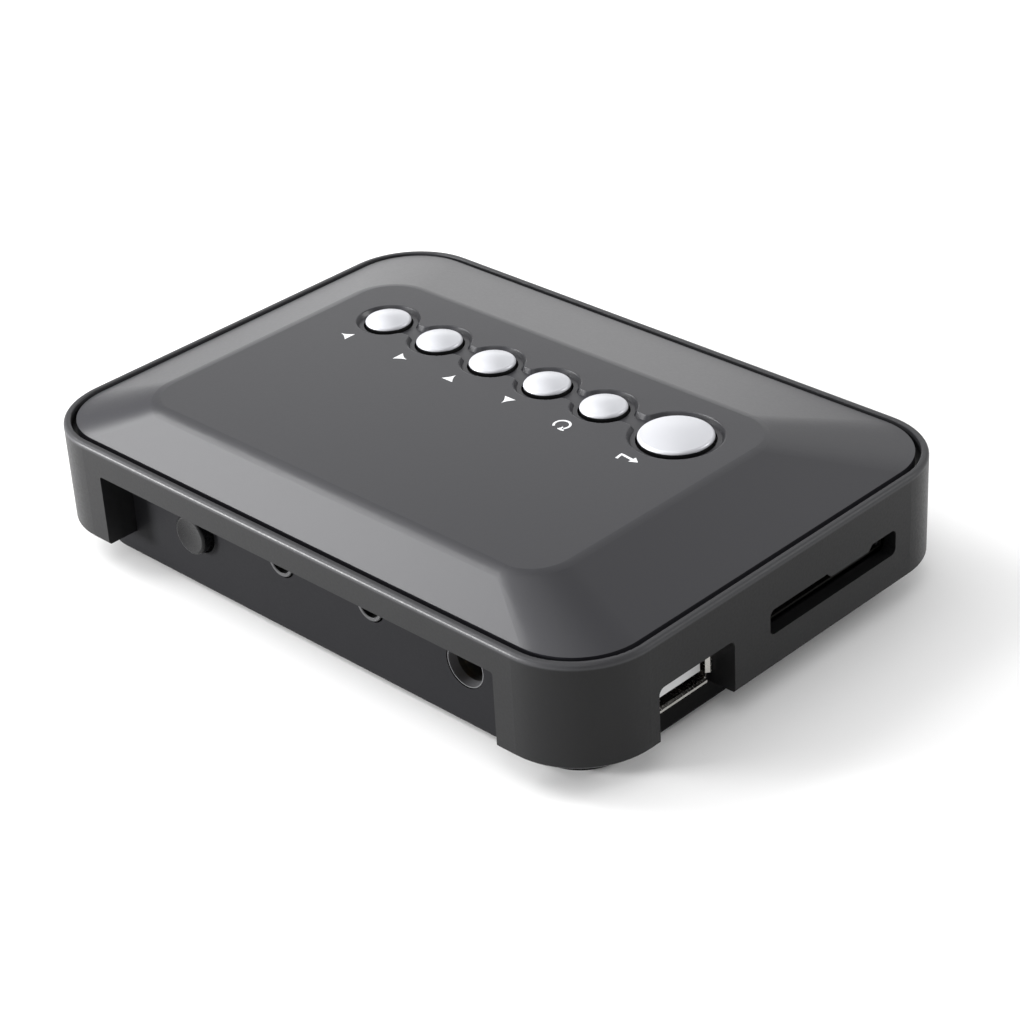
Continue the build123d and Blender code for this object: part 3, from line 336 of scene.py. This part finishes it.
# %% Plastics, resin and rubber
finishes.update(
    # Glass fibres make it rough and a little grey.
    switch_housing=finish(
        "glass_filled_nylon", "#202022", "#28282A", roughness=0.55, grain=0.25, relief=0.008,
        IOR=1.55),
    # Waxy black.
    switch_stem=finish(
        "acetal", "#1F1F21", "#252527", roughness=0.38, grain=0.3, relief=0.003, IOR=1.48),
    # Glossy, with a hint of dark red.
    receiver_plastic=finish(
        "infrared_epoxy", "#1A1416", "#20181A", roughness=0.18, grain=0.6, relief=0.002,
        IOR=1.55),
    # Matt and finely gritty.
    chip_resin=finish(
        "moulding_resin", "#26262A", "#2E2E31", roughness=0.55, grain=0.2, relief=0.008,
        IOR=1.57),
    # Rough like fired clay.
    ferrite=finish(
        "sintered_ferrite", "#3A3A3C", "#4A4A4B", roughness=0.62, grain=0.25, relief=0.015),
    # Soft black without a highlight.
    foot_rubber=finish(
        "matt_rubber", "#1D1D1E", "#26262A", roughness=0.78, grain=0.3, relief=0.02, IOR=1.52),
    # Green, and shiny where the mask ran smooth.
    board_laminate=finish(
        "solder_mask", "#14532E", "#1A6237", roughness=0.32, grain=0.8, relief=0.01, cloud=3.0,
        IOR=1.52),
    # Glossy, and so dark a red that it looks black.
    window_plastic=finish(
        "smoked_polycarbonate", "#18080C", "#1D0A0F", roughness=0.12, grain=0.8, relief=0.001,
        IOR=1.58),
    # Clear pale blue.
    lamp_plastic=finish(
        "tinted_epoxy", "#7FC4E8", "#8BCDED", roughness=0.12, grain=0.8, relief=0.001,
        IOR=1.55, **{"Transmission Weight": 0.7}),
)
print("finishes", len(finishes))

# %% [markdown]
# ## Dress the imported nodes
# Every imported node comes with one material, named in the part's source for its stuff. A
# finish could be picked by the node's name, but the stuff's name serves many nodes at once.
# Only the sheet over the card socket differs from the other sheets: it is nearly black as
# painted shade, and is named here.

# %% Give each imported node its finish
for name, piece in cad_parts.items():
    slot = piece.material_slots[0]
    # The card socket's sheet takes the nearly black finish, painted shade for the dark slot.
    stuff = "blackened_sheet" if name == "card_cover" else slot.material.name
    slot.material = finishes[stuff]
print("dressed", len(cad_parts), "nodes in", len(finishes), "finishes")

# %% [markdown]
# ## Marks printed on the cover
# Under each key a small white mark says what it does: four arrowheads, a circling arrow
# and a hooked return arrow. They could be a picture laid on the cover, but at this size
# its edges would blur. Each mark is a band that runs along a path with a width that
# changes on the way, and it stands as proud as a layer of ink does. Screen ink is dense and
# matt, so it looks evenly white. A mark's place is measured from the middle of its key.

# %% The ink, and the keys that it belongs to
ink = finish(
    "screen_ink", "#E6E7E9", "#DCDDDF", roughness=0.55, grain=0.3, relief=0.002, cloud=1.5,
    IOR=1.50)
top_height = 24.8
ink_thickness = 0.02
keys = [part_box(f"key_{number}") for number in range(1, 7)]
key_middles = [round((low.x + high.x) / 2 / MM, 4) for low, high in keys]
print("keys in the middle of x =", key_middles, "mm")

# %% A band along a path
def mesh_piece(name, points, faces, material):
    """A flat-shaded mesh object at the origin from whole arrays of points and faces."""
    mesh = bpy.data.meshes.new(name)
    mesh.from_pydata(points.tolist(), [], faces.tolist())
    mesh.validate()
    mesh.polygons.foreach_set("use_smooth", np.zeros(len(mesh.polygons), bool))
    mesh.materials.append(material)
    piece = bpy.data.objects.new(name, mesh)
    bpy.context.scene.collection.objects.link(piece)
    return piece


def band(name, path, widths):
    """Closed band of ink on the cover: at each path point p with unit normal n and width w,
    its two edges are p + n w/2 and p - n w/2, at the ink's lower and upper height. In mm."""
    low, high = top_height, top_height + ink_thickness
    along = np.gradient(path, axis=0)
    along /= np.linalg.norm(along, axis=1, keepdims=True)
    normal = np.column_stack((-along[:, 1], along[:, 0]))
    left = path + normal * widths[:, None] / 2
    right = path - normal * widths[:, None] / 2
    ring = [np.column_stack((side, np.full(len(path), z)))
            for side, z in ((left, low), (left, high), (right, high), (right, low))]
    points = np.stack(ring, axis=1).reshape(-1, 3) * MM
    # Four corners at each path point: a face from each two to the next two, and two ends.
    step = np.arange(len(path) - 1)[:, None] * 4
    quads = [step + np.array([[k, (k + 1) % 4, (k + 1) % 4 + 4, k + 4]]) for k in range(4)]
    last = 4 * (len(path) - 1)
    faces = np.concatenate(quads + [np.array([[3, 2, 1, 0]]), last + np.array([[0, 1, 2, 3]])])
    return mesh_piece(name, points, faces, ink)


print("ink lies between", top_height, "and", round(top_height + ink_thickness, 3), "mm")

# %% [markdown]
# ## Arrowheads
# The marks of the first four keys are arrowheads in four directions. Each could be a plain
# triangle, but the printed ones have hollow sides, so the band narrows along its path by a
# power above one.

# %% Arrowheads
arrow_length = 1.75
arrow_base = 2.0
arrow_hollow = 1.6
arrow_points = 8
point_width = 0.04
arrows = (  # where it points, the step that way, x from the key's middle, and y
    ("right", (1, 0), 1.3375, -2.16),
    ("left", (-1, 0), 0.3375, -2.28),
    ("front", (0, -1), 1.1075, -2.36),
    ("rear", (0, 1), 1.0175, -2.28),
)
steps = np.linspace(-0.5, 0.5, arrow_points)
arrow_widths = arrow_base * (0.5 - steps) ** arrow_hollow + point_width
marks = []
for (name, way, beside, y), key_middle in zip(arrows, key_middles):
    path = np.array([key_middle + beside, y]) + np.outer(steps, way) * arrow_length
    marks.append(band(f"printed_arrow_{name}", path, arrow_widths))
print("arrowheads", len(marks))

# %% [markdown]
# ## The circling arrow
# This mark is most of a ring that ends in an arrowhead bent along the same ring. The head
# could be a straight triangle, but on so small a ring it would point away from the circle.

# %% The circling arrow
def arc(middle, radius, first, last, count):
    """Row of count points middle + radius (cos t, sin t), with t from first to last degrees."""
    turn = np.radians(np.linspace(first, last, count))
    return middle + radius * np.column_stack((np.cos(turn), np.sin(turn)))


circle_middle = np.array([key_middles[4] + 0.8575, -2.03])
circle_radius = 1.15
circle_width = 0.34
circle_head_width = 1.25
line_start, line_end, line_points = 52, -228, 60  # from and to in degrees from +X
head_start, head_end, head_points = -218, -262, 10
line = arc(circle_middle, circle_radius, line_start, line_end, line_points)
head = arc(circle_middle, circle_radius, head_start, head_end, head_points)
marks.append(band("printed_circle", line, np.full(len(line), circle_width)))
marks.append(band(
    "printed_circle_head", head, np.linspace(circle_head_width, point_width, len(head))))
print("circle", round(2 * circle_radius + circle_width, 2), "mm across")

# %% [markdown]
# ## The hooked return arrow
# A short upright line turns a corner and ends in an arrowhead. It could be two straight
# bands, but one band that bends keeps the corner closed.

# %% The hooked return arrow
hook_width = 0.38
hook_head_width = 1.4
upright_points, sideways_points, tip_points = 6, 10, 8
hook = np.array([(2.05, 0.2), (2.25, -1.05), (0.15, -0.8), (-0.95, -0.7)])  # x from the key
hook_start, hook_corner, hook_end, hook_tip = hook + [key_middles[5], 0]
upright = np.linspace(hook_start, hook_corner, upright_points)
sideways = np.linspace(hook_corner, hook_end, sideways_points)
line = np.concatenate((upright, sideways[1:]))
head = np.linspace(hook_end, hook_tip, tip_points)
marks.append(band("printed_hook", line, np.full(len(line), hook_width)))
marks.append(band(
    "printed_hook_head", head, np.linspace(hook_head_width, point_width, len(head))))
for mark in marks:
    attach(mark, "housing")
print("marks", [mark.name for mark in marks])

# %% [markdown]
# ## The floor
# The part stands on pale paper, which takes its soft shadow and throws light back at the
# walls. A curved backdrop could hide the paper's edge, but a sheet this wide fills the frame
# in any view from above.

# %% Floor
floor_paper = bpy.data.materials.new("floor_paper")
floor_paper.use_nodes = True
paper_shader = floor_paper.node_tree.nodes["Principled BSDF"]
paper_shader.inputs["Base Color"].default_value = linear("#F4F4F4")
paper_shader.inputs["Roughness"].default_value = 0.9

floor_half = 2.0
floor_corners = np.array([(-1, -1, 0), (1, -1, 0), (1, 1, 0), (-1, 1, 0)]) * floor_half
floor = mesh_piece("floor", floor_corners, np.array([(0, 1, 2, 3)]), floor_paper)
print("floor", 2 * floor_half, "m wide")

# %% [markdown]
# ## Light
# The part is lit by soft boxes, as in a catalogue. Every dark piece shows mostly what it
# mirrors, so each box is placed for one surface. The key box and the far box light the
# sloping flanks and the flat top, the crease box the soft break between the two, the top box
# the keys, and the low left box draws the bright line along the rear bead. Weak front, right
# and near boxes keep the other walls from going black. One even sky would be simpler, but
# then all the flanks have one tone.

# %% Light
def direction(azimuth, elevation):
    """Unit vector (sin a cos e, -cos a cos e, sin e) from the part to a place at azimuth a,
    counted from the front toward +X, and at elevation e. Both are in radians."""
    return np.array([
        math.sin(azimuth) * math.cos(elevation), -math.cos(azimuth) * math.cos(elevation),
        math.sin(elevation)])


def soft_box(name, azimuth, elevation, distance, size, power):
    """A square light of size metres, distance metres from the part and facing it."""
    light = bpy.data.lights.new(name, "AREA")
    light.size = size
    light.energy = power
    lamp = bpy.data.objects.new(name, light)
    lamp.location = direction(math.radians(azimuth), math.radians(elevation)) * distance
    lamp.rotation_mode = "QUATERNION"
    lamp.rotation_quaternion = lamp.location.to_track_quat("Z", "Y")
    lamp.visible_camera = False
    bpy.context.scene.collection.objects.link(lamp)


boxes = (  # name, azimuth and elevation in degrees, distance and size in metres, watts
    ("key_box", 112, 41, 0.9, 0.45, 4.8),
    ("crease_box", 74, 50, 0.9, 0.35, 0.5),
    ("far_box", 45, 14, 1.2, 0.6, 1.15),
    ("top_box", 120, 75, 1.1, 0.8, 2.0),
    ("left_box", 140, 8, 0.9, 0.22, 18.0),
    ("front_box", 12, 36, 1.0, 0.5, 0.5),
    ("right_box", 320, 30, 1.0, 0.4, 2.8),
    ("near_box", 226, 58, 0.9, 0.34, 1.0),
)
for box in boxes:
    soft_box(*box)

sky_strength = 0.54
world = bpy.data.worlds.new("studio")
world.use_nodes = True
sky = world.node_tree.nodes["Background"]
sky.inputs["Color"].default_value = linear("#FFFFFF")
sky.inputs["Strength"].default_value = sky_strength
bpy.context.scene.world = world
bpy.context.scene.view_settings.view_transform = "Standard"
print("soft boxes", len(boxes))

# %% [markdown]
# ## The camera
# The camera looks from above the rear corner at the USB end, from the distance of the
# reference view, through the same narrow lens and with the same slight roll. It could be
# aimed with a constraint, but a matrix of its three axes and its place does it in one step.

# %% Camera
view_azimuth = math.radians(225.685)
view_elevation = math.radians(30.50)
view_roll = math.radians(-3.4625)
view_distance = 380.067 * MM
view_right = 3.545 * MM
view_up = -10.937 * MM
seam_height = 20.0 * MM
image_side = 1020
focal_pixels = 2715.685

back = direction(view_azimuth, view_elevation)
level = np.array([math.cos(view_azimuth), math.sin(view_azimuth), 0.0])
over = np.cross(back, level)
right = level * math.cos(view_roll) + over * math.sin(view_roll)
up = over * math.cos(view_roll) - level * math.sin(view_roll)
seam_middle = np.array([0, 0, seam_height])
spot = back * view_distance + right * view_right + up * view_up + seam_middle

lens = bpy.data.cameras.new("camera")
lens.sensor_width = 36.0
lens.lens = focal_pixels * lens.sensor_width / image_side
lens.clip_start = 0.01
lens.clip_end = 20.0
camera = bpy.data.objects.new("camera", lens)
placed = np.eye(4)
placed[:3] = np.column_stack((right, up, back, spot))
camera.matrix_world = Matrix(placed.tolist())
bpy.context.scene.collection.objects.link(camera)
bpy.context.scene.camera = camera
print("lens", round(lens.lens, 2), "mm")
